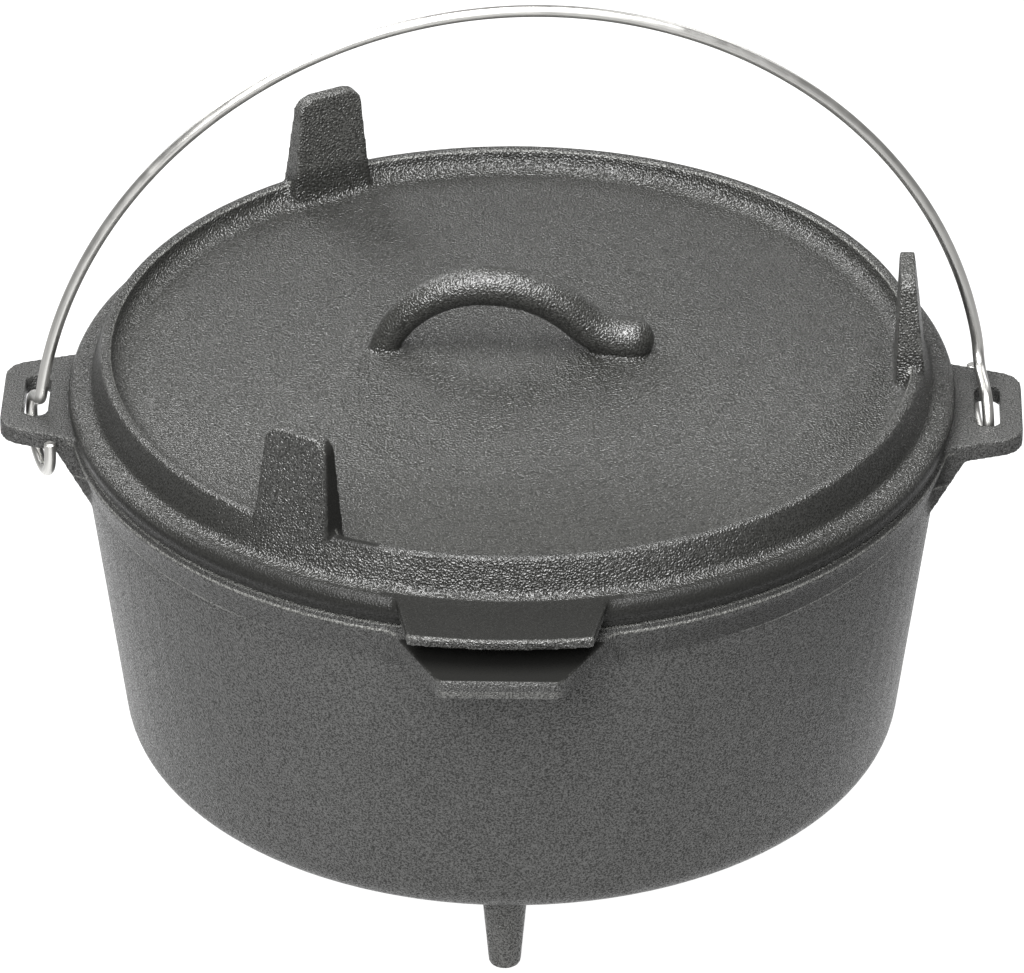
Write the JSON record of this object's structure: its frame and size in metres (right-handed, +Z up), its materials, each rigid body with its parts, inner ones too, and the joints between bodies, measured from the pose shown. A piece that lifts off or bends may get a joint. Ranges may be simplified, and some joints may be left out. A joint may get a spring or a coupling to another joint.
{
  "type": "camp dutch oven",
  "caption": "Deep cast-iron camp oven on legs, with a rimmed lid for coals, lid feet, an arched lid handle, a front lip and lug, and a swinging wire bail.",
  "frame": {"origin": "on the pot's vertical axis, at the level of the legs' ends", "axes": "+Z up; +X towards the right-hand ear, along the line of both ears; -Y towards the front lug and lip"},
  "size_m": [0.3868, 0.3655, 0.346],
  "materials": {
    "pot_iron": "matte seasoned sand casting",
    "lid_iron": "matte seasoned sand casting",
    "bail_wire": "bright drawn wire"
  },
  "bodies": {
    "pot": {"pot": "pot_iron"},
    "lid": {"lid": "lid_iron"},
    "bail": {"bail": "bail_wire"}
  },
  "joints": [
    {"name": "bail_swing", "type": "hinge", "parent": "pot", "child": "bail", "pos_m": [0, 0, 0.1708], "axis": [0.9929, 0.119, 0], "range_deg": [-74, 74]},
    {"name": "lid_lift", "type": "slide", "parent": "pot", "child": "lid", "axis": [0, 0, 1], "range_m": [0, 0.016]}
  ]
}
